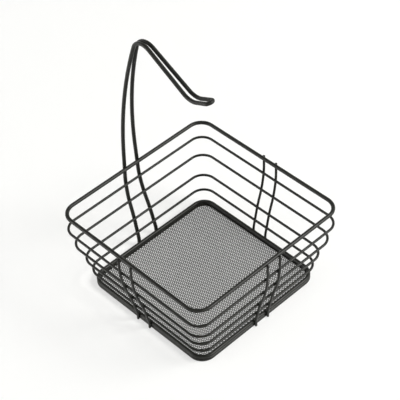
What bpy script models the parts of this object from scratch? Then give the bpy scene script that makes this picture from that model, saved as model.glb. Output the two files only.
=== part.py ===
"""A fruit basket of welded wire with a banana hook, modelled piece by piece.

Run it with: blender --background --python part.py, or from Blender's text editor.

Lengths are in metres and angles in degrees. The origin is on the table, under the middle of the
whole object's outline. +Z is up. The hook stands at the back, on +Y, and reaches towards -Y.
"""
import math

import bmesh
import bpy
from mathutils import Vector

# Powder coats: linear colour and roughness
WIRE_COLOUR = (0.022, 0.022, 0.021)
WIRE_ROUGHNESS = 0.42
MESH_COLOUR = (0.030, 0.030, 0.029)
MESH_ROUGHNESS = 0.50

# Wires, with their coat
RIM_WIRE_RADIUS = 0.0026
WALL_WIRE_RADIUS = 0.0016
BASE_WIRE_RADIUS = 0.0026
RIB_WIRE_RADIUS = 0.0016
HOOK_WIRE_RADIUS = 0.0026
WIRE_BEVEL_RESOLUTION = 2
WIRE_SIDES = 4 + 2 * WIRE_BEVEL_RESOLUTION
FACET_TILT = math.pi / WIRE_SIDES
FACET_SHARE = math.cos(FACET_TILT)
POINTS_IN_NEW_SPLINE = 1

# Clearance that stands for a weld between two pieces
WELD_GAP = 0.0003

# Rings: half of a side and the corner's radius, both to the wire's centre line, and the height of
# the centre line over the upper base ring's
RIM_HALF_SIDE = 0.1450
RIM_CORNER_RADIUS = 0.0233
RIM_RISE = 0.1400
WALL_1_HALF_SIDE = 0.1455
WALL_1_CORNER_RADIUS = 0.0222
WALL_1_RISE = 0.1086
WALL_2_HALF_SIDE = 0.1403
WALL_2_CORNER_RADIUS = 0.0236
WALL_2_RISE = 0.0773
WALL_3_HALF_SIDE = 0.1309
WALL_3_CORNER_RADIUS = 0.0232
WALL_3_RISE = 0.0458
WALL_4_HALF_SIDE = 0.1252
WALL_4_CORNER_RADIUS = 0.0229
WALL_4_RISE = 0.0211
BASE_HALF_SIDE = 0.1203
BASE_CORNER_RADIUS = 0.0210
CORNER_STEPS = 6

# Mesh floor: an expanded metal sheet whose hem is folded under, between the two base rings
SHEET_THICKNESS = 0.0005
HEM_THICKNESS = 0.0010
HEM_WIDTH = 0.0030
HEM_OVER_BASE_LINE = 0.0012
MESH_LONG_PITCH = 0.00586
MESH_SHORT_PITCH = 0.00374
MESH_STRAND_WIDTH = 0.0006
# Each modelled opening stands for a group of this many real ones each way
MESH_GROUP = 4
CUT_OVERRUN = 0.0020

# How far over the table the ribs and the hook's legs end
FOOT_RISE = 0.0006

# Ribs, in pairs on three sides
RIB_SPACING = 0.0254
RIB_TOP_OVER_RIM = 0.0010
SEAT_STEPS = 3

# Banana hook: the distance between its two legs, and the bends of each leg from the rim up
HOOK_FOOT_SPACING = 0.0372
HOOK_NECK_SPACING = 0.0066
HOOK_TIP_SPACING = 0.0118
HOOK_STRAIGHT_OVER_RIM = 0.0257
BOW_RADIUS = 0.6730
BOW_TURN = 18.8
BOW_STEPS = 10
APEX_RADIUS = 0.0233
APEX_STEPS = 10
ARM_SLOPE = 29.5
ARM_LENGTH = 0.0777
TIP_BEND_RADIUS = 0.0266
TIP_BEND_STEPS = 6
TIP_SLOPE = 24.8
TIP_LENGTH = 0.0204
TIP_LOOP_STEPS = 8

# Heights: the lower base ring stands on a flat of its faceted wire
LOWER_BASE_Z = BASE_WIRE_RADIUS * FACET_SHARE
HEM_BOTTOM_Z = LOWER_BASE_Z + BASE_WIRE_RADIUS * FACET_SHARE + WELD_GAP
HEM_TOP_Z = HEM_BOTTOM_Z + HEM_THICKNESS
UPPER_BASE_Z = HEM_TOP_Z + WELD_GAP + BASE_WIRE_RADIUS * FACET_SHARE

# Name, half side, corner radius, height and wire radius, from the bottom up
RINGS = [
    ("base_ring_lower", BASE_HALF_SIDE, BASE_CORNER_RADIUS, LOWER_BASE_Z, BASE_WIRE_RADIUS),
    ("base_ring_upper", BASE_HALF_SIDE, BASE_CORNER_RADIUS, UPPER_BASE_Z, BASE_WIRE_RADIUS),
    ("wall_ring_4", WALL_4_HALF_SIDE, WALL_4_CORNER_RADIUS, UPPER_BASE_Z + WALL_4_RISE, WALL_WIRE_RADIUS),
    ("wall_ring_3", WALL_3_HALF_SIDE, WALL_3_CORNER_RADIUS, UPPER_BASE_Z + WALL_3_RISE, WALL_WIRE_RADIUS),
    ("wall_ring_2", WALL_2_HALF_SIDE, WALL_2_CORNER_RADIUS, UPPER_BASE_Z + WALL_2_RISE, WALL_WIRE_RADIUS),
    ("wall_ring_1", WALL_1_HALF_SIDE, WALL_1_CORNER_RADIUS, UPPER_BASE_Z + WALL_1_RISE, WALL_WIRE_RADIUS),
    ("rim_ring", RIM_HALF_SIDE, RIM_CORNER_RADIUS, UPPER_BASE_Z + RIM_RISE, RIM_WIRE_RADIUS),
]
RIM_Z = UPPER_BASE_Z + RIM_RISE


def clear_scene():
    """Removes every object of the scene."""
    for thing in list(bpy.data.objects):
        bpy.data.objects.remove(thing, do_unlink=True)


def powder_coat(name, colour, roughness):
    """A black powder coat over steel: its gloss is the coat's, so it isn't metallic."""
    material = bpy.data.materials.new(name)
    material.use_nodes = True
    shader = material.node_tree.nodes["Principled BSDF"]
    shader.inputs["Base Color"].default_value = (*colour, 1.0)
    shader.inputs["Roughness"].default_value = roughness
    shader.inputs["Metallic"].default_value = 0.0
    material.diffuse_color = (*colour, 1.0)
    return material


def add_wire(name, points, radius, material, closed, flat_below=False):
    """One wire of round section along a line of points, closed or with flat capped ends."""
    curve = bpy.data.curves.new(name, "CURVE")
    curve.dimensions = "3D"
    curve.bevel_depth = radius
    curve.bevel_resolution = WIRE_BEVEL_RESOLUTION
    curve.use_fill_caps = not closed
    curve.twist_mode = "Z_UP" if flat_below else "MINIMUM"
    spline = curve.splines.new("POLY")
    spline.points.add(len(points) - POINTS_IN_NEW_SPLINE)
    for spot, place in zip(spline.points, points):
        spot.co = (*place, 1.0)
        spot.tilt = FACET_TILT if flat_below else 0.0
    spline.use_cyclic_u = closed
    spline.use_smooth = True
    wire = bpy.data.objects.new(name, curve)
    wire.data.materials.append(material)
    bpy.context.collection.objects.link(wire)
    return wire


def rounded_square(half_side, corner_radius, height):
    """Points round a square with round corners, centred on the basket's axis."""
    points = []
    inner = half_side - corner_radius
    for quarter, (side_x, side_y) in enumerate([(1, 1), (-1, 1), (-1, -1), (1, -1)]):
        for step in range(CORNER_STEPS + 1):
            angle = math.pi / 2 * (quarter + step / CORNER_STEPS)
            x = side_x * inner + corner_radius * math.cos(angle)
            y = side_y * inner + corner_radius * math.sin(angle)
            points.append(Vector((x, BASKET_CENTRE_Y + y, height)))
    return points


def wall_seats(wire_radius):
    """Where an upright wire lies against the outside of the rings.

    Each seat is the distance from the basket's axis, the height, and the lean there, which is how
    far the wire goes out for each unit that it goes up.
    """
    reaches = [half + ring_radius + WELD_GAP + wire_radius for _, half, _, _, ring_radius in RINGS]
    heights = [height for _, _, _, height, _ in RINGS]
    seats = []
    for index, (reach, height) in enumerate(zip(reaches, heights)):
        lean = 0.0
        if 1 < index < len(RINGS) - 1:
            rise = heights[index + 1] - heights[index - 1]
            lean = (reaches[index + 1] - reaches[index - 1]) / rise
        ring_radius = RINGS[index][4]
        stand_off = ring_radius + WELD_GAP + wire_radius
        leaning_stand_off = stand_off * math.sqrt(1 + lean * lean)
        seats.append((reach - stand_off + leaning_stand_off, height, lean))
    return seats


def wall_line(wire_radius):
    """The bent line of an upright wire from the lower base ring to the rim, as reach and height."""
    seats = wall_seats(wire_radius)
    line = [(seats[0][0], seats[0][1])]
    for (low_reach, low, low_lean), (high_reach, high, high_lean) in zip(seats, seats[1:]):
        rise = high - low
        for step in range(1, SEAT_STEPS + 1):
            share = step / SEAT_STEPS
            low_share = (1 + 2 * share) * (1 - share) ** 2
            high_share = share * share * (3 - 2 * share)
            low_lean_share = share * (1 - share) ** 2
            high_lean_share = share * share * (share - 1)
            reach = low_share * low_reach + high_share * high_reach
            reach += rise * (low_lean_share * low_lean + high_lean_share * high_lean)
            line.append((reach, low + share * rise))
    return line


def outline_reach(wire_radius):
    """How far from the basket's axis the outside of an upright wire comes."""
    return max(reach for reach, _, _ in wall_seats(wire_radius)) + wire_radius


# The hook's legs stand out further than the ribs do, so the basket's axis is a little forward
BASKET_CENTRE_Y = (outline_reach(RIB_WIRE_RADIUS) - outline_reach(HOOK_WIRE_RADIUS)) / 2


def add_rings():
    """The rim, the four wall rings and the two base rings."""
    for name, half_side, corner_radius, height, wire_radius in RINGS:
        material = powder_coat(name + "_coat", WIRE_COLOUR, WIRE_ROUGHNESS)
        points = rounded_square(half_side, corner_radius, height)
        add_wire(name, points, wire_radius, material, closed=True, flat_below=True)


def add_prism(name, outlines, low, high):
    """One mesh object that extrudes each outline, a list of points in plan, from low to high."""
    shape = bmesh.new()
    for outline in outlines:
        face = shape.faces.new([shape.verts.new((x, y, low)) for x, y in outline])
        raised = bmesh.ops.extrude_face_region(shape, geom=[face])
        lifted = [item for item in raised["geom"] if isinstance(item, bmesh.types.BMVert)]
        bmesh.ops.translate(shape, verts=lifted, vec=(0, 0, high - low))
    bmesh.ops.recalc_face_normals(shape, faces=shape.faces)
    mesh = bpy.data.meshes.new(name)
    shape.to_mesh(mesh)
    shape.free()
    prism = bpy.data.objects.new(name, mesh)
    bpy.context.collection.objects.link(prism)
    return prism


def add_cut(target, cutter):
    """Subtracts a cutter, which only shows as a guide, from a piece."""
    cutter.hide_render = True
    cutter.display_type = "WIRE"
    cut = target.modifiers.new(cutter.name, "BOOLEAN")
    cut.operation = "DIFFERENCE"
    cut.solver = "EXACT"
    cut.object = cutter


def mesh_openings(clear_half_side, clear_corner_radius):
    """Diamonds in staggered rows that lie wholly inside a rounded square."""
    long_pitch = MESH_LONG_PITCH * MESH_GROUP
    short_pitch = MESH_SHORT_PITCH * MESH_GROUP
    strand = MESH_STRAND_WIDTH * MESH_GROUP
    side = math.hypot(long_pitch, short_pitch) / 2
    across_flats = long_pitch * short_pitch / 2 / side
    open_share = 1 - strand / across_flats
    half_long = long_pitch / 2 * open_share
    half_short = short_pitch / 2 * open_share
    corner_centre = clear_half_side - clear_corner_radius
    columns = math.ceil(clear_half_side / long_pitch)
    rows = math.ceil(clear_half_side / short_pitch)
    diamonds = []
    for stagger in (0.0, 0.5):
        for column in range(-columns, columns + 1):
            for row in range(-rows, rows + 1):
                x = (column + stagger) * long_pitch
                y = (row + stagger) * short_pitch
                past_x = abs(x) + half_long - corner_centre
                past_y = abs(y) + half_short - corner_centre
                if max(past_x, past_y) > clear_corner_radius:
                    continue
                if min(past_x, past_y) > 0 and math.hypot(past_x, past_y) > clear_corner_radius:
                    continue
                y += BASKET_CENTRE_Y
                ends = [(x + half_long, y), (x, y + half_short), (x - half_long, y), (x, y - half_short)]
                diamonds.append(ends)
    return diamonds


def add_floor_mesh():
    """The mesh floor: a sheet with a thicker hem all round and diamond openings inside it."""
    half_side = BASE_HALF_SIDE + HEM_OVER_BASE_LINE
    corner_radius = BASE_CORNER_RADIUS + HEM_OVER_BASE_LINE
    clear_half_side = half_side - HEM_WIDTH
    clear_corner_radius = corner_radius - HEM_WIDTH
    outline = [(point.x, point.y) for point in rounded_square(half_side, corner_radius, 0)]
    inner = [(point.x, point.y) for point in rounded_square(clear_half_side, clear_corner_radius, 0)]
    floor = add_prism("floor_mesh", [outline], HEM_BOTTOM_Z, HEM_TOP_Z)
    floor.data.materials.append(powder_coat("floor_mesh_coat", MESH_COLOUR, MESH_ROUGHNESS))
    recess = add_prism("hem_recess", [inner], HEM_BOTTOM_Z - CUT_OVERRUN, HEM_TOP_Z - SHEET_THICKNESS)
    add_cut(floor, recess)
    diamonds = mesh_openings(clear_half_side, clear_corner_radius)
    openings = add_prism("mesh_openings", diamonds, HEM_BOTTOM_Z - CUT_OVERRUN, HEM_TOP_Z + CUT_OVERRUN)
    add_cut(floor, openings)


def add_rib(name, side_angle, offset):
    """One rib on the side whose outward direction has that angle, offset along the side."""
    line = wall_line(RIB_WIRE_RADIUS)
    line = [(line[0][0], FOOT_RISE)] + line + [(line[-1][0], RIM_Z + RIB_TOP_OVER_RIM)]
    outward = Vector((math.cos(side_angle), math.sin(side_angle), 0))
    along = Vector((-math.sin(side_angle), math.cos(side_angle), 0))
    axis_foot = Vector((0, BASKET_CENTRE_Y, 0))
    points = [axis_foot + outward * reach + along * offset + Vector((0, 0, height)) for reach, height in line]
    material = powder_coat(name + "_coat", WIRE_COLOUR, WIRE_ROUGHNESS)
    add_wire(name, points, RIB_WIRE_RADIUS, material, closed=False)


def add_ribs():
    """A pair of ribs at the middle of the right, left and front sides."""
    half = RIB_SPACING / 2
    add_rib("rib_right_front", 0.0, -half)
    add_rib("rib_right_back", 0.0, half)
    add_rib("rib_left_front", math.pi, half)
    add_rib("rib_left_back", math.pi, -half)
    add_rib("rib_front_left", -math.pi / 2, -half)
    add_rib("rib_front_right", -math.pi / 2, half)


def arc(start, heading, radius, turn, steps):
    """Points along an arc from a start in the (y, z) plane, and the heading at its end.

    A heading is in degrees from +Z towards -Y. A positive turn bends towards -Y and down.
    """
    points = []
    spot = Vector(start)
    chord = 2 * radius * math.sin(math.radians(abs(turn) / steps / 2))
    for step in range(steps):
        spot = spot + direction(heading + turn * (step + 0.5) / steps) * chord
        points.append(spot)
    return points, heading + turn


def direction(heading):
    """The unit step in (y, z) along a heading in degrees from +Z towards -Y."""
    angle = math.radians(heading)
    return Vector((-math.sin(angle), math.cos(angle)))


def hook_leg_line():
    """One leg's line in (y, z), from its foot over the apex to the tip, and the neck's place in it."""
    wall = wall_line(HOOK_WIRE_RADIUS)
    line = [Vector((BASKET_CENTRE_Y + reach, height)) for reach, height in wall]
    line.insert(0, Vector((line[0].x, FOOT_RISE)))
    line.append(line[-1] + Vector((0, HOOK_STRAIGHT_OVER_RIM)))
    bow, heading = arc(line[-1], 0, BOW_RADIUS, BOW_TURN, BOW_STEPS)
    line += bow
    neck = len(line) - 1
    apex, heading = arc(line[-1], heading, APEX_RADIUS, 90 + ARM_SLOPE - heading, APEX_STEPS)
    line += apex
    line.append(line[-1] + direction(heading) * ARM_LENGTH)
    tip_bend, heading = arc(line[-1], heading, TIP_BEND_RADIUS, -(ARM_SLOPE + TIP_SLOPE), TIP_BEND_STEPS)
    line += tip_bend
    line.append(line[-1] + direction(heading) * TIP_LENGTH)
    return line, neck, direction(heading)


def add_banana_hook():
    """The hook: one wire that goes up one leg, round its tip and down the other leg."""
    line, neck, tip_direction = hook_leg_line()
    lengths = [0.0]
    for low, high in zip(line, line[1:]):
        lengths.append(lengths[-1] + (high - low).length)
    left = []
    for place, length in zip(line, lengths):
        if length <= lengths[neck]:
            share = length / lengths[neck]
            spacing = HOOK_FOOT_SPACING + (HOOK_NECK_SPACING - HOOK_FOOT_SPACING) * share
        else:
            share = (length - lengths[neck]) / (lengths[-1] - lengths[neck])
            spacing = HOOK_NECK_SPACING + (HOOK_TIP_SPACING - HOOK_NECK_SPACING) * share
        left.append(Vector((-spacing / 2, place.x, place.y)))
    right = [Vector((-point.x, point.y, point.z)) for point in reversed(left)]
    loop_radius = HOOK_TIP_SPACING / 2
    onward = Vector((0, tip_direction.x, tip_direction.y))
    tip = Vector((0, line[-1].x, line[-1].y))
    loop = []
    for step in range(1, TIP_LOOP_STEPS):
        angle = math.pi * step / TIP_LOOP_STEPS
        loop.append(tip + onward * loop_radius * math.sin(angle) - Vector((loop_radius * math.cos(angle), 0, 0)))
    material = powder_coat("banana_hook_coat", WIRE_COLOUR, WIRE_ROUGHNESS)
    add_wire("banana_hook", left + loop + right, HOOK_WIRE_RADIUS, material, closed=False)


def main():
    clear_scene()
    add_rings()
    add_floor_mesh()
    add_ribs()
    add_banana_hook()


main()
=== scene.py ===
"""The looks of the wire fruit basket with a banana hook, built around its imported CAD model.

Lengths are in metres and angles in degrees. +Z is up, and the hook stands at the back, on +Y.
"""
import math
from typing import NamedTuple

import bpy
from mathutils import Matrix, Vector


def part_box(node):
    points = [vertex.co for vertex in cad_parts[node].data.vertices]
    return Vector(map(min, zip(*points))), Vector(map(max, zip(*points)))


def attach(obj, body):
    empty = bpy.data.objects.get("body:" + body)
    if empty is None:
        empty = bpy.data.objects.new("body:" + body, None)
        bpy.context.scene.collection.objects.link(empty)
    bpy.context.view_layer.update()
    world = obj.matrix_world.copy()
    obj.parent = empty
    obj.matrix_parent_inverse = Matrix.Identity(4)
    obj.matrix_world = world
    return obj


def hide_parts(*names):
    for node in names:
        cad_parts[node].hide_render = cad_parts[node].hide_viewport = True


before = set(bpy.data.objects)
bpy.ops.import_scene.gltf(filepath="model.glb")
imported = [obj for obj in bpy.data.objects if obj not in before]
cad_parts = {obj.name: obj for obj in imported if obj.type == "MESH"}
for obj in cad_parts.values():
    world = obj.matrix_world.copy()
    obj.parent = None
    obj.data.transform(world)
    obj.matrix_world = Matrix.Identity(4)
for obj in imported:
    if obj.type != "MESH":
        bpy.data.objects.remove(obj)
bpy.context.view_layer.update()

# Wires as the solids have them, and the coat that is drawn over them
THICK_WIRE_RADIUS = 0.0026
THIN_WIRE_RADIUS = 0.0016
COAT_THICKNESS = 0.0004
WIRE_SIDES = 32
WELD_GAP = 0.0003

# Base: two thick rings of one size, with the floor's hem between them
BASE_HALF_SIDE = 0.1203
BASE_CORNER_RADIUS = 0.0210
UPPER_BASE_Z = 0.00881
BASE_RING_STEP = 0.00606


class Ring(NamedTuple):
    """A ring's size to its wire's centre line, and its rise over the upper base ring."""
    name: str
    half_side: float
    corner_radius: float
    rise: float
    wire_radius: float

    @property
    def height(self):
        """The height of the wire's centre line."""
        return UPPER_BASE_Z + self.rise


# The rings from the base up
RIM = Ring("rim_ring", 0.1450, 0.0233, 0.1400, THICK_WIRE_RADIUS)
RINGS = [
    Ring("base_ring_lower", BASE_HALF_SIDE, BASE_CORNER_RADIUS, -BASE_RING_STEP, THICK_WIRE_RADIUS),
    Ring("base_ring_upper", BASE_HALF_SIDE, BASE_CORNER_RADIUS, 0.0, THICK_WIRE_RADIUS),
    Ring("wall_ring_4", 0.1252, 0.0229, 0.0211, THIN_WIRE_RADIUS),
    Ring("wall_ring_3", 0.1309, 0.0232, 0.0458, THIN_WIRE_RADIUS),
    Ring("wall_ring_2", 0.1403, 0.0236, 0.0773, THIN_WIRE_RADIUS),
    Ring("wall_ring_1", 0.1455, 0.0222, 0.1086, THIN_WIRE_RADIUS),
    RIM,
]
CORNER_STEPS = 24

# The basket's axis is a little forward of the middle of the whole outline
AXIS_Y = (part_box("rim_ring")[0].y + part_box("rim_ring")[1].y) / 2

# Upright wires, and the rounding of their ends as shares of the wire's radius
FOOT_Z = 0.0006
RIB_TOP_OVER_RIM = 0.0010
RIB_SPACING = 0.0254
SEAT_STEPS = 12
END_ROUNDING_SHARE = 0.55
END_BULGE_SHARE = 0.04
END_STEPS = 5

# Banana hook
HOOK_FOOT_SPACING = 0.0372
HOOK_NECK_SPACING = 0.0066
HOOK_TIP_SPACING = 0.0118
HOOK_STRAIGHT_OVER_RIM = 0.0257
BOW_RADIUS = 0.6730
BOW_TURN = 18.8
APEX_RADIUS = 0.0233
ARM_SLOPE = 29.5
ARM_LENGTH = 0.0777
TIP_BEND_RADIUS = 0.0266
TIP_SLOPE = 24.8
TIP_LENGTH = 0.0204
BEND_STEPS = 24
TIP_LOOP_STEPS = 20

# Weld fillets: reach and root as shares of the wires' radii, and by how much the middle is narrower
WELD_REACH_SHARE = 0.80
WELD_NARROWING = 0.30
WELD_ROOT_SHARE = 0.5
WELD_SINK = 0.00006
WELD_SIDES = 24
WELD_ROWS = 5

# Floor: an expanded metal sheet with a folded hem, whose top is lifted clear of the sheet's
SHEET_THICKNESS = 0.0005
HEM_BOTTOM_Z = 0.00510
HEM_TOP_Z = 0.00610
HEM_LIFT = 0.00004
HEM_WIDTH = 0.0030
HEM_FOLD_STEPS = 8
HEM_OVER_BASE_LINE = 0.0012
FLOOR_HALF_SIDE = BASE_HALF_SIDE + HEM_OVER_BASE_LINE
FLOOR_CORNER_RADIUS = BASE_CORNER_RADIUS + HEM_OVER_BASE_LINE
HEM_INNER_HALF = FLOOR_HALF_SIDE - HEM_WIDTH
HEM_INNER_CORNER = FLOOR_CORNER_RADIUS - HEM_WIDTH

# The sheet's openings are diamonds, long along X, with blunt ends there
MESH_LONG_PITCH = 0.005813
MESH_SHORT_PITCH = 0.003670
MESH_HALF_LONG = MESH_LONG_PITCH / 2
MESH_HALF_SHORT = MESH_SHORT_PITCH / 2
MESH_STRAND_WIDTH = 0.00075
MESH_BLUNT_SHARE = 0.35
MESH_TURN = -0.306
MESH_OFFSET = (-0.00154, 0.00051)
MESH_TUCK = 0.0028
MESH_EDGE_MARGIN = 0.0004
MESH_SAG = 0.0027

# Camera, fitted to the photograph. Its axis meets the picture half a pixel right of and below the middle
CAMERA_AZIMUTH = -42.309
CAMERA_ELEVATION = 44.268
CAMERA_ROLL = -3.073
CAMERA_EYE = (-0.9690, -1.0684, 1.57388)
CAMERA_FOCAL_PIXELS = 1381.0
CAMERA_OFF_CENTRE_PIXELS = 0.5
IMAGE_PIXELS = 400
SENSOR_WIDTH = 36.0

# Powder coat: darkest and lightest colour, clouds and orange peel
WIRE_DARK = (0.0052, 0.0054, 0.0040)
WIRE_LIGHT = (0.0102, 0.0105, 0.0077)
WIRE_ROUGHNESS = 0.45
WIRE_SPECULAR = 0.33
MESH_DARK = (0.0100, 0.0104, 0.0074)
MESH_LIGHT = (0.0175, 0.0182, 0.0130)
MESH_ROUGHNESS = 0.60
MESH_SPECULAR = 0.35
ROUGHNESS_SPREAD = 0.05
COAT_IOR = 1.5
CLOUD_SCALE = 120.0
CLOUD_DETAIL = 5.0
CLOUD_RANGE = (0.35, 0.70)
PEEL_SCALE = 1400.0
PEEL_DETAIL = 3.0
PEEL_STRENGTH = 0.4
PEEL_HEIGHT = 0.00004

# Floor and backdrop of the studio, in one piece
STAGE_RADIUS = 6.0
COVE_RADIUS = 1.5
COVE_STEPS = 12
BACKDROP_HEIGHT = 3.8
STAGE_SIDES = 96
PAPER_COLOUR = (0.95, 0.95, 0.945)
PAPER_ROUGHNESS = 0.9
PAPER_GLOW = (1.0, 1.0, 0.995)
PAPER_GLOW_SHARE = 0.6

# Lights
LIGHT_TARGET = (0, 0, 0.05)
LIGHT_COLOUR = (1.0, 1.0, 0.97)
KEY_PLACE = (2.8, -3.5, 3.78)
KEY_SIZE = 2.6
KEY_POWER = 340
FILL_PLACE = (-3.2, 2.2, 0.8)
FILL_SIZE = 1.6
FILL_POWER = 60
WORLD_STRENGTH = 0.25

# Directions
RIGHTWARD = Vector((1, 0, 0))
BACKWARD = Vector((0, 1, 0))
UPWARD = Vector((0, 0, 1))


def add_camera():
    """The camera at the photograph's place."""
    azimuth, elevation, roll = map(math.radians, (CAMERA_AZIMUTH, CAMERA_ELEVATION, CAMERA_ROLL))
    away = Vector((math.sin(azimuth), -math.cos(azimuth), 0))
    back = away * math.cos(elevation) + UPWARD * math.sin(elevation)
    level_right = Vector((math.cos(azimuth), math.sin(azimuth), 0))
    level_up = back.cross(level_right)
    right = level_right * math.cos(roll) + level_up * math.sin(roll)
    up = level_up * math.cos(roll) - level_right * math.sin(roll)
    tilt = CAMERA_OFF_CENTRE_PIXELS / CAMERA_FOCAL_PIXELS
    back = (back + right * tilt - up * tilt).normalized()
    right = (right - back * right.dot(back)).normalized()
    up = back.cross(right)
    data = bpy.data.cameras.new("camera")
    data.sensor_width = SENSOR_WIDTH
    data.lens = CAMERA_FOCAL_PIXELS / IMAGE_PIXELS * SENSOR_WIDTH
    camera = bpy.data.objects.new("camera", data)
    camera.location = CAMERA_EYE
    camera.rotation_mode = "QUATERNION"
    camera.rotation_quaternion = Matrix((right, up, back)).transposed().to_quaternion()
    bpy.context.scene.collection.objects.link(camera)
    bpy.context.scene.camera = camera


def tangent_at(path, index, closed):
    """The unit tangent at a point of a path."""
    here = path[index]
    before = path[index - 1] if closed or index > 0 else None
    after = path[(index + 1) % len(path)] if closed or index < len(path) - 1 else None
    if before is None:
        return (after - here).normalized()
    if after is None:
        return (here - before).normalized()
    return ((here - before).normalized() + (after - here).normalized()).normalized()


def loop_points(place, across, other, size, count):
    """Points round a circle, from its two unit axes."""
    angles = [2 * math.pi * side / count for side in range(count)]
    return [place + (across * math.cos(angle) + other * math.sin(angle)) * size for angle in angles]


def band_faces(rows, sides, wrap=False):
    """Quads between neighbouring rows of points, each row a closed loop of so many sides."""
    faces = []
    for row in range(rows if wrap else rows - 1):
        low, high = row * sides, (row + 1) % rows * sides
        for side in range(sides):
            next_side = (side + 1) % sides
            faces.append((low + side, low + next_side, high + next_side, high + side))
    return faces


def fan_faces(low, sides, middle, flip):
    """Triangles from a row of points to a middle point, turned over for the first row of a shell."""
    faces = []
    for side in range(sides):
        pair = (low + side, low + (side + 1) % sides)
        faces.append((pair[1], pair[0], middle) if flip else (pair[0], pair[1], middle))
    return faces


def rounded_end(section, sign):
    """A wire's rounded end, as sections from its start inwards of the tip to the tip."""
    place, tangent, across, radius = section
    rounding = radius * END_ROUNDING_SHARE
    sections = []
    for step in range(END_STEPS + 1):
        angle = math.pi / 2 * step / END_STEPS
        drawn_in = rounding * (1 - math.sin(angle))
        size = radius - rounding * (1 - math.cos(angle))
        sections.append((place - tangent * sign * drawn_in, tangent, across, size))
    return sections


def wire_shell(path, bare_radius, closed, side_hint):
    """Vertices and faces of a coated round wire along a path, with rounded ends if it is open.

    The points round it are counted from the side hint, a direction that lies across its start.
    """
    radius = bare_radius + COAT_THICKNESS
    sections = []
    across = side_hint
    for index, place in enumerate(path):
        tangent = tangent_at(path, index, closed)
        across = (across - tangent * across.dot(tangent)).normalized()
        sections.append((place, tangent, across, radius))
    if not closed:
        head, tail = rounded_end(sections[0], -1), rounded_end(sections[-1], 1)
        sections = head[::-1] + sections[1:-1] + tail
    verts = []
    for place, tangent, across, size in sections:
        verts += loop_points(place, across, tangent.cross(across), size, WIRE_SIDES)
    faces = band_faces(len(sections), WIRE_SIDES, closed)
    if not closed:
        for row, sign in ((0, -1), (len(sections) - 1, 1)):
            place, tangent = sections[row][:2]
            faces += fan_faces(row * WIRE_SIDES, WIRE_SIDES, len(verts), sign < 0)
            verts.append(place + tangent * sign * radius * END_BULGE_SHARE)
    return verts, faces


def weld_shell(ring_point, ring_radius, wire_radius, along, outward, wire_tangent):
    """A weld's fillet between a ring and an upright wire that touches it.

    It is a spool round the line from the ring's centre to the wire's. Its ends are inside the wires.
    """
    wire_point = ring_point + outward * (ring_radius + WELD_GAP + wire_radius)
    ring_radius += COAT_THICKNESS
    wire_radius += COAT_THICKNESS
    reach = WELD_REACH_SHARE * min(ring_radius, wire_radius)
    verts = []
    for row in range(WELD_ROWS + 1):
        share = row / WELD_ROWS
        waist = 1 - WELD_NARROWING * 4 * share * (1 - share)
        for side in range(WELD_SIDES):
            angle = 2 * math.pi * side / WELD_SIDES
            run, rise = reach * math.cos(angle), reach * math.sin(angle)
            low = ring_point + outward * math.sqrt((ring_radius - WELD_SINK) ** 2 - rise ** 2)
            high = wire_point - outward * math.sqrt((wire_radius - WELD_SINK) ** 2 - run ** 2)
            verts.append(low + (high - low) * share + (along * run + wire_tangent * rise) * waist)
    faces = band_faces(WELD_ROWS + 1, WELD_SIDES)
    faces += fan_faces(0, WELD_SIDES, len(verts), True)
    faces += fan_faces(WELD_ROWS * WELD_SIDES, WELD_SIDES, len(verts) + 1, False)
    verts.append(ring_point + outward * (ring_radius * WELD_ROOT_SHARE))
    verts.append(wire_point - outward * (wire_radius * WELD_ROOT_SHARE))
    return verts, faces


def make_piece(name, shells, material, smooth=True):
    """One object from closed shells, riding on the basket and standing for its CAD node."""
    verts = []
    faces = []
    for shell_verts, shell_faces in shells:
        start = len(verts)
        verts += [tuple(vert) for vert in shell_verts]
        faces += [tuple(start + index for index in face) for face in shell_faces]
    mesh = bpy.data.meshes.new(name + "_look")
    mesh.from_pydata(verts, [], faces)
    if smooth:
        mesh.shade_smooth()
    mesh.materials.append(material)
    piece = bpy.data.objects.new(name + "_look", mesh)
    bpy.context.scene.collection.objects.link(piece)
    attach(piece, "root")
    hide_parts(name)


def rounded_square(half_side, corner_radius, height):
    """Points round a square with round corners, centred on the basket's axis."""
    points = []
    inner = half_side - corner_radius
    for quarter, (side_x, side_y) in enumerate([(1, 1), (-1, 1), (-1, -1), (1, -1)]):
        for step in range(CORNER_STEPS + 1):
            angle = math.pi / 2 * (quarter + step / CORNER_STEPS)
            x = side_x * inner + corner_radius * math.cos(angle)
            y = side_y * inner + corner_radius * math.sin(angle)
            points.append(Vector((x, AXIS_Y + y, height)))
    return points


def add_rings(material):
    for ring in RINGS:
        path = rounded_square(ring.half_side, ring.corner_radius, ring.height)
        make_piece(ring.name, [wire_shell(path, ring.wire_radius, True, UPWARD)], material)


class Seat(NamedTuple):
    """Where an upright wire lies against a ring: how far out it is, and how it leans."""
    ring: Ring
    reach: float
    lean: float


def wall_seats(wire_radius):
    """An upright wire's seats on the rings, from the base up. It leans only at the wall rings."""
    seats = []
    stand_offs = [ring.wire_radius + WELD_GAP + wire_radius for ring in RINGS]
    for index, (ring, stand_off) in enumerate(zip(RINGS, stand_offs)):
        lean = 0.0
        if ring.name.startswith("wall_ring"):
            below, above = RINGS[index - 1], RINGS[index + 1]
            run = above.half_side + stand_offs[index + 1] - below.half_side - stand_offs[index - 1]
            lean = run / (above.height - below.height)
        seats.append(Seat(ring, ring.half_side + stand_off * math.sqrt(1 + lean * lean), lean))
    return seats


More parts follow.
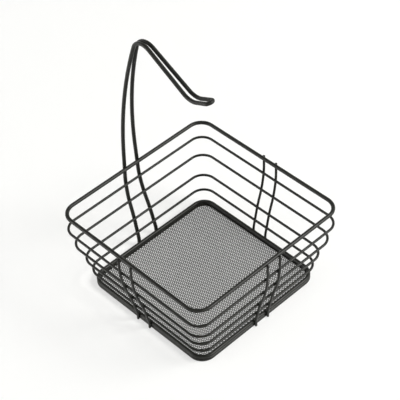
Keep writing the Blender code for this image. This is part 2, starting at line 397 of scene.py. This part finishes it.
def wall_line(wire_radius):
    """The bent line of an upright wire from the lower base ring to the rim, as (reach, height)."""
    seats = wall_seats(wire_radius)
    line = [(seats[0].reach, seats[0].ring.height)]
    for low, high in zip(seats, seats[1:]):
        rise = high.ring.height - low.ring.height
        for step in range(1, SEAT_STEPS + 1):
            # A cubic curve that takes up each seat's reach and lean
            share = step / SEAT_STEPS
            left = 1 - share
            reach = (1 + 2 * share) * left ** 2 * low.reach + share ** 2 * (3 - 2 * share) * high.reach
            reach += rise * share * left * (left * low.lean - share * high.lean)
            line.append((reach, low.ring.height + share * rise))
    return line


def weld_shells(wire_radius, outward, along, offset_at):
    """A fillet at each ring for an upright wire whose offset along the side is given by height."""
    shells = []
    for ring, _, lean in wall_seats(wire_radius):
        slope = math.atan(lean)
        normal = outward * math.cos(slope) - UPWARD * math.sin(slope)
        tangent = outward * math.sin(slope) + UPWARD * math.cos(slope)
        place = Vector((0, AXIS_Y, ring.height)) + outward * ring.half_side + along * offset_at(ring.height)
        shells.append(weld_shell(place, ring.wire_radius, wire_radius, along, normal, tangent))
    return shells


def add_rib(name, side_angle, offset, material):
    """A thin upright wire on the side that faces an angle in plan, offset along that side."""
    line = wall_line(THIN_WIRE_RADIUS)
    line = [(line[0][0], FOOT_Z)] + line + [(line[-1][0], RIM.height + RIB_TOP_OVER_RIM)]
    angle = math.radians(side_angle)
    outward = Vector((math.cos(angle), math.sin(angle), 0))
    along = Vector((-math.sin(angle), math.cos(angle), 0))
    path = [Vector((0, AXIS_Y, height)) + outward * reach + along * offset for reach, height in line]
    shells = [wire_shell(path, THIN_WIRE_RADIUS, False, along)]
    shells += weld_shells(THIN_WIRE_RADIUS, outward, along, lambda height: offset)
    make_piece(name, shells, material)


def add_ribs(material):
    """A pair of ribs at the middle of the right, left and front sides."""
    half = RIB_SPACING / 2
    add_rib("rib_right_front", 0, -half, material)
    add_rib("rib_right_back", 0, half, material)
    add_rib("rib_left_front", 180, half, material)
    add_rib("rib_left_back", 180, -half, material)
    add_rib("rib_front_left", -90, -half, material)
    add_rib("rib_front_right", -90, half, material)


def direction(heading):
    """The unit step in (y, z) along a heading in degrees from +Z towards -Y."""
    angle = math.radians(heading)
    return Vector((-math.sin(angle), math.cos(angle)))


def arc(start, heading, radius, turn):
    """Points along an arc from a start in the (y, z) plane."""
    points = []
    spot = start
    step_turn = turn / BEND_STEPS
    chord = 2 * radius * math.sin(math.radians(abs(step_turn) / 2))
    for step in range(BEND_STEPS):
        spot = spot + direction(heading + step_turn * (step + 0.5)) * chord
        points.append(spot)
    return points


def hook_line():
    """The hook's line from a foot to where the loop at its tip starts, in (y, z), and the neck's index."""
    line = [Vector((AXIS_Y + reach, height)) for reach, height in wall_line(THICK_WIRE_RADIUS)]
    line.insert(0, Vector((line[0].x, FOOT_Z)))
    line.append(line[-1] + Vector((0, HOOK_STRAIGHT_OVER_RIM)))
    line += arc(line[-1], 0, BOW_RADIUS, BOW_TURN)
    neck = len(line) - 1
    arm_heading = 90 + ARM_SLOPE
    line += arc(line[-1], BOW_TURN, APEX_RADIUS, arm_heading - BOW_TURN)
    line.append(line[-1] + direction(arm_heading) * ARM_LENGTH)
    line += arc(line[-1], arm_heading, TIP_BEND_RADIUS, -(ARM_SLOPE + TIP_SLOPE))
    line.append(line[-1] + direction(90 - TIP_SLOPE) * TIP_LENGTH)
    return line, neck


def hook_leg(line, neck):
    """The left leg: the hook's line, set off by half of a spacing that narrows to the neck, then widens."""
    lengths = [0.0]
    for low, high in zip(line, line[1:]):
        lengths.append(lengths[-1] + (high - low).length)
    leg = []
    for place, length in zip(line, lengths):
        if length <= lengths[neck]:
            share = length / lengths[neck]
            spacing = HOOK_FOOT_SPACING + (HOOK_NECK_SPACING - HOOK_FOOT_SPACING) * share
        else:
            share = (length - lengths[neck]) / (lengths[-1] - lengths[neck])
            spacing = HOOK_NECK_SPACING + (HOOK_TIP_SPACING - HOOK_NECK_SPACING) * share
        leg.append(Vector((-spacing / 2, place.x, place.y)))
    return leg


def add_banana_hook(material):
    """The hook: one wire that goes up one leg, round its tip and down the other leg."""
    line, neck = hook_line()
    left = hook_leg(line, neck)
    right = [Vector((-point.x, point.y, point.z)) for point in reversed(left)]
    onward = Vector((0, *direction(90 - TIP_SLOPE)))
    tip = Vector((0, *line[-1]))
    loop_radius = HOOK_TIP_SPACING / 2
    loop = []
    for step in range(1, TIP_LOOP_STEPS):
        angle = math.pi * step / TIP_LOOP_STEPS
        loop.append(tip + (onward * math.sin(angle) - RIGHTWARD * math.cos(angle)) * loop_radius)

    def half_spacing(height):
        # Half of the distance between the legs at a height below the neck
        low, high = next(pair for pair in zip(left, left[1:]) if pair[1].z >= height)
        return -(low.x + (high.x - low.x) * (height - low.z) / (high.z - low.z))

    shells = [wire_shell(left + loop + right, THICK_WIRE_RADIUS, False, RIGHTWARD)]
    shells += weld_shells(THICK_WIRE_RADIUS, BACKWARD, -RIGHTWARD, half_spacing)
    shells += weld_shells(THICK_WIRE_RADIUS, BACKWARD, -RIGHTWARD, lambda height: -half_spacing(height))
    make_piece("banana_hook", shells, material)


def floor_depth(x, y):
    """How far inside the edge of a floor centred on 0 a point is, and the way outwards for |x| and |y|."""
    inner = FLOOR_HALF_SIDE - FLOOR_CORNER_RADIUS
    past_x, past_y = abs(x) - inner, abs(y) - inner
    if past_x > 0 and past_y > 0:
        past = math.hypot(past_x, past_y)
        return FLOOR_CORNER_RADIUS - past, (past_x / past, past_y / past)
    if past_x > past_y:
        return FLOOR_CORNER_RADIUS - past_x, (1, 0)
    return FLOOR_CORNER_RADIUS - past_y, (0, 1)


def sheet_point(x, y, level):
    """Where a point of the flat pattern lies on the sheet, which sags a little between its edges."""
    turn = math.radians(MESH_TURN)
    x, y = x + MESH_OFFSET[0], y + MESH_OFFSET[1]
    x, y = x * math.cos(turn) - y * math.sin(turn), x * math.sin(turn) + y * math.cos(turn) - AXIS_Y
    depth, (out_x, out_y) = floor_depth(x, y)
    if depth < MESH_TUCK:
        # What comes near the edge or passes it is drawn in under the hem
        kept_share = (MESH_TUCK - MESH_EDGE_MARGIN) / (MESH_TUCK + MESH_HALF_LONG)
        step = (MESH_TUCK - depth) * (1 - kept_share)
        x -= math.copysign(out_x * step, x)
        y -= math.copysign(out_y * step, y)
    across, along = x / HEM_INNER_HALF, y / HEM_INNER_HALF
    sag = MESH_SAG * max(0, 1 - across * across) * max(0, 1 - along * along)
    return Vector((x, y + AXIS_Y, level - sag))


def opening_outline():
    """A hole's six corners, as shares of a diamond's half diagonals, with strands between the holes."""
    across_flats = 2 * MESH_HALF_LONG * MESH_HALF_SHORT / math.hypot(MESH_HALF_LONG, MESH_HALF_SHORT)
    open_share = 1 - MESH_STRAND_WIDTH / across_flats
    run, rise = open_share * (1 - MESH_BLUNT_SHARE), open_share * MESH_BLUNT_SHARE
    return [(run, rise), (0, open_share), (-run, rise), (-run, -rise), (0, -open_share), (run, -rise)]


def sheet_shell():
    """The sheet: a diamond of metal round each hole, top and bottom, with the holes' and the edge's sides.

    A corner of a diamond is named by its column and row, in half pitches.
    """
    verts = []
    faces = []
    corner_index = {}
    open_edges = {}
    hole = opening_outline()
    top, bottom = HEM_TOP_Z, HEM_TOP_Z - SHEET_THICKNESS

    def corner(column, row, level):
        key = (column, row, level)
        if key not in corner_index:
            corner_index[key] = len(verts)
            verts.append(sheet_point(column * MESH_HALF_LONG, row * MESH_HALF_SHORT, level))
        return corner_index[key]

    columns = int(FLOOR_HALF_SIDE / MESH_HALF_LONG) + 1
    rows = int(FLOOR_HALF_SIDE / MESH_HALF_SHORT) + 1
    for column in range(-columns, columns + 1):
        for row in range(-rows, rows + 1):
            x, y = column * MESH_HALF_LONG, row * MESH_HALF_SHORT
            if (column + row) % 2 or floor_depth(x, y - AXIS_Y)[0] < 0:
                continue
            corners = [(column + 1, row), (column, row + 1), (column - 1, row), (column, row - 1)]
            for start, end in zip(corners, corners[1:] + corners[:1]):
                # An edge that two diamonds share is walked once each way
                if open_edges.pop((end, start), None) is None:
                    open_edges[(start, end)] = True
            layers = []
            for level in (top, bottom):
                outer = [corner(*key, level) for key in corners]
                inner = list(range(len(verts), len(verts) + len(hole)))
                verts += [sheet_point(x + run * MESH_HALF_LONG, y + rise * MESH_HALF_SHORT, level)
                          for run, rise in hole]
                layer = [(outer[0], outer[1], inner[1], inner[0]), (outer[1], outer[2], inner[2], inner[1]),
                         (outer[2], outer[3], inner[4], inner[3]), (outer[3], outer[0], inner[5], inner[4]),
                         (outer[0], inner[0], inner[5]), (outer[2], inner[3], inner[2])]
                faces += layer if level == top else [face[::-1] for face in layer]
                layers.append(inner)
            upper, lower = layers
            for side in range(len(hole)):
                next_side = (side + 1) % len(hole)
                faces.append((upper[side], upper[next_side], lower[next_side], lower[side]))
    for start, end in open_edges:
        faces.append((corner(*end, top), corner(*start, top), corner(*start, bottom), corner(*end, bottom)))
    return verts, faces


def hem_shell():
    """The hem: a flat band round the sheet's edge, with a rounded fold outside."""
    bottom, top = HEM_BOTTOM_Z, HEM_TOP_Z + HEM_LIFT
    radius = (top - bottom) / 2
    fold_half, fold_corner = FLOOR_HALF_SIDE - radius, FLOOR_CORNER_RADIUS - radius
    verts = rounded_square(HEM_INNER_HALF, HEM_INNER_CORNER, bottom)
    for step in range(HEM_FOLD_STEPS + 1):
        angle = math.pi * (step / HEM_FOLD_STEPS - 0.5)
        out, rise = radius * math.cos(angle), radius * math.sin(angle)
        verts += rounded_square(fold_half + out, fold_corner + out, bottom + radius + rise)
    verts += rounded_square(HEM_INNER_HALF, HEM_INNER_CORNER, top)
    sides = 4 * (CORNER_STEPS + 1)
    return verts, band_faces(len(verts) // sides, sides, wrap=True)


def add_floor_mesh(material):
    make_piece("floor_mesh", [sheet_shell(), hem_shell()], material, smooth=False)


def add_noise(nodes, links, place, scale, detail):
    """The grey value of a noise texture in the piece's own space."""
    noise = nodes.new("ShaderNodeTexNoise")
    noise.inputs["Scale"].default_value = scale
    noise.inputs["Detail"].default_value = detail
    links.new(place, noise.inputs["Vector"])
    return noise.outputs["Fac"]


def powder_coat(name, dark, light, roughness, specular):
    """Satin black powder coat: faint clouds in its colour and gloss, and a fine orange peel."""
    material = bpy.data.materials.new(name)
    material.use_nodes = True
    nodes = material.node_tree.nodes
    links = material.node_tree.links
    shader = nodes["Principled BSDF"]
    shader.inputs["Metallic"].default_value = 0.0
    shader.inputs["IOR"].default_value = COAT_IOR
    shader.inputs["Specular IOR Level"].default_value = specular
    place = nodes.new("ShaderNodeTexCoord").outputs["Object"]
    cloud = add_noise(nodes, links, place, CLOUD_SCALE, CLOUD_DETAIL)
    ramp = nodes.new("ShaderNodeValToRGB")
    for element, position, colour in zip(ramp.color_ramp.elements, CLOUD_RANGE, (dark, light)):
        element.position = position
        element.color = (*colour, 1)
    links.new(cloud, ramp.inputs["Fac"])
    links.new(ramp.outputs["Color"], shader.inputs["Base Color"])
    gloss = nodes.new("ShaderNodeMapRange")
    gloss.inputs["From Min"].default_value = CLOUD_RANGE[0]
    gloss.inputs["From Max"].default_value = CLOUD_RANGE[1]
    gloss.inputs["To Min"].default_value = roughness - ROUGHNESS_SPREAD
    gloss.inputs["To Max"].default_value = roughness + ROUGHNESS_SPREAD
    links.new(cloud, gloss.inputs["Value"])
    links.new(gloss.outputs["Result"], shader.inputs["Roughness"])
    bump = nodes.new("ShaderNodeBump")
    bump.inputs["Strength"].default_value = PEEL_STRENGTH
    bump.inputs["Distance"].default_value = PEEL_HEIGHT
    links.new(add_noise(nodes, links, place, PEEL_SCALE, PEEL_DETAIL), bump.inputs["Height"])
    links.new(bump.outputs["Normal"], shader.inputs["Normal"])
    return material


def studio_paper():
    """White paper that looks partly white by itself, to the eye and in reflections, and takes shadows."""
    material = bpy.data.materials.new("studio_floor")
    material.use_nodes = True
    nodes = material.node_tree.nodes
    links = material.node_tree.links
    shader = nodes["Principled BSDF"]
    shader.inputs["Base Color"].default_value = (*PAPER_COLOUR, 1)
    shader.inputs["Roughness"].default_value = PAPER_ROUGHNESS
    shader.inputs["Specular IOR Level"].default_value = 0.0
    glow = nodes.new("ShaderNodeEmission")
    glow.inputs["Color"].default_value = (*PAPER_GLOW, 1)
    rays = nodes.new("ShaderNodeLightPath")
    seen = rays.outputs["Is Camera Ray"]
    for ray in ("Is Glossy Ray", "Is Transmission Ray"):
        either = nodes.new("ShaderNodeMath")
        either.operation = "MAXIMUM"
        links.new(seen, either.inputs[0])
        links.new(rays.outputs[ray], either.inputs[1])
        seen = either.outputs[0]
    share = nodes.new("ShaderNodeMath")
    share.operation = "MULTIPLY"
    share.inputs[1].default_value = PAPER_GLOW_SHARE
    links.new(seen, share.inputs[0])
    mix = nodes.new("ShaderNodeMixShader")
    links.new(share.outputs[0], mix.inputs["Fac"])
    links.new(shader.outputs["BSDF"], mix.inputs[1])
    links.new(glow.outputs["Emission"], mix.inputs[2])
    links.new(mix.outputs["Shader"], nodes["Material Output"].inputs["Surface"])
    return material


def add_stage():
    """A round pale floor that runs up in a cove into a backdrop all round."""
    profile = []
    for step in range(COVE_STEPS + 1):
        angle = math.pi / 2 * step / COVE_STEPS
        reach = STAGE_RADIUS - COVE_RADIUS + COVE_RADIUS * math.sin(angle)
        profile.append((reach, COVE_RADIUS * (1 - math.cos(angle))))
    profile.append((STAGE_RADIUS, BACKDROP_HEIGHT))
    verts = []
    for reach, height in profile:
        verts += loop_points(UPWARD * height, RIGHTWARD, BACKWARD, reach, STAGE_SIDES)
    mesh = bpy.data.meshes.new("studio_floor")
    mesh.from_pydata(verts, [], [tuple(range(STAGE_SIDES))] + band_faces(len(profile), STAGE_SIDES))
    mesh.shade_smooth()
    mesh.polygons[0].use_smooth = False
    mesh.materials.append(studio_paper())
    floor = bpy.data.objects.new("studio_floor", mesh)
    bpy.context.scene.collection.objects.link(floor)


def add_light(name, place, size, power):
    """A round area light that shines at the basket."""
    data = bpy.data.lights.new(name, "AREA")
    data.shape = "DISK"
    data.size = size
    data.energy = power
    data.color = LIGHT_COLOUR
    light = bpy.data.objects.new(name, data)
    light.location = place
    light.rotation_mode = "QUATERNION"
    light.rotation_quaternion = (Vector(LIGHT_TARGET) - Vector(place)).to_track_quat("-Z", "Y")
    bpy.context.scene.collection.objects.link(light)


def add_lights():
    """A soft key at the front right, a low fill at the left and back, and an even sky over the backdrop."""
    add_light("key", KEY_PLACE, KEY_SIZE, KEY_POWER)
    add_light("fill", FILL_PLACE, FILL_SIZE, FILL_POWER)
    world = bpy.data.worlds.new("studio")
    world.use_nodes = True
    background = world.node_tree.nodes["Background"]
    background.inputs["Color"].default_value = (*LIGHT_COLOUR, 1)
    background.inputs["Strength"].default_value = WORLD_STRENGTH
    bpy.context.scene.world = world


add_camera()
wire_coat = powder_coat("wire_coat", WIRE_DARK, WIRE_LIGHT, WIRE_ROUGHNESS, WIRE_SPECULAR)
mesh_coat = powder_coat("mesh_coat", MESH_DARK, MESH_LIGHT, MESH_ROUGHNESS, MESH_SPECULAR)
add_rings(wire_coat)
add_ribs(wire_coat)
add_banana_hook(wire_coat)
add_floor_mesh(mesh_coat)
add_stage()
add_lights()
bpy.context.scene.view_settings.view_transform = "Standard"
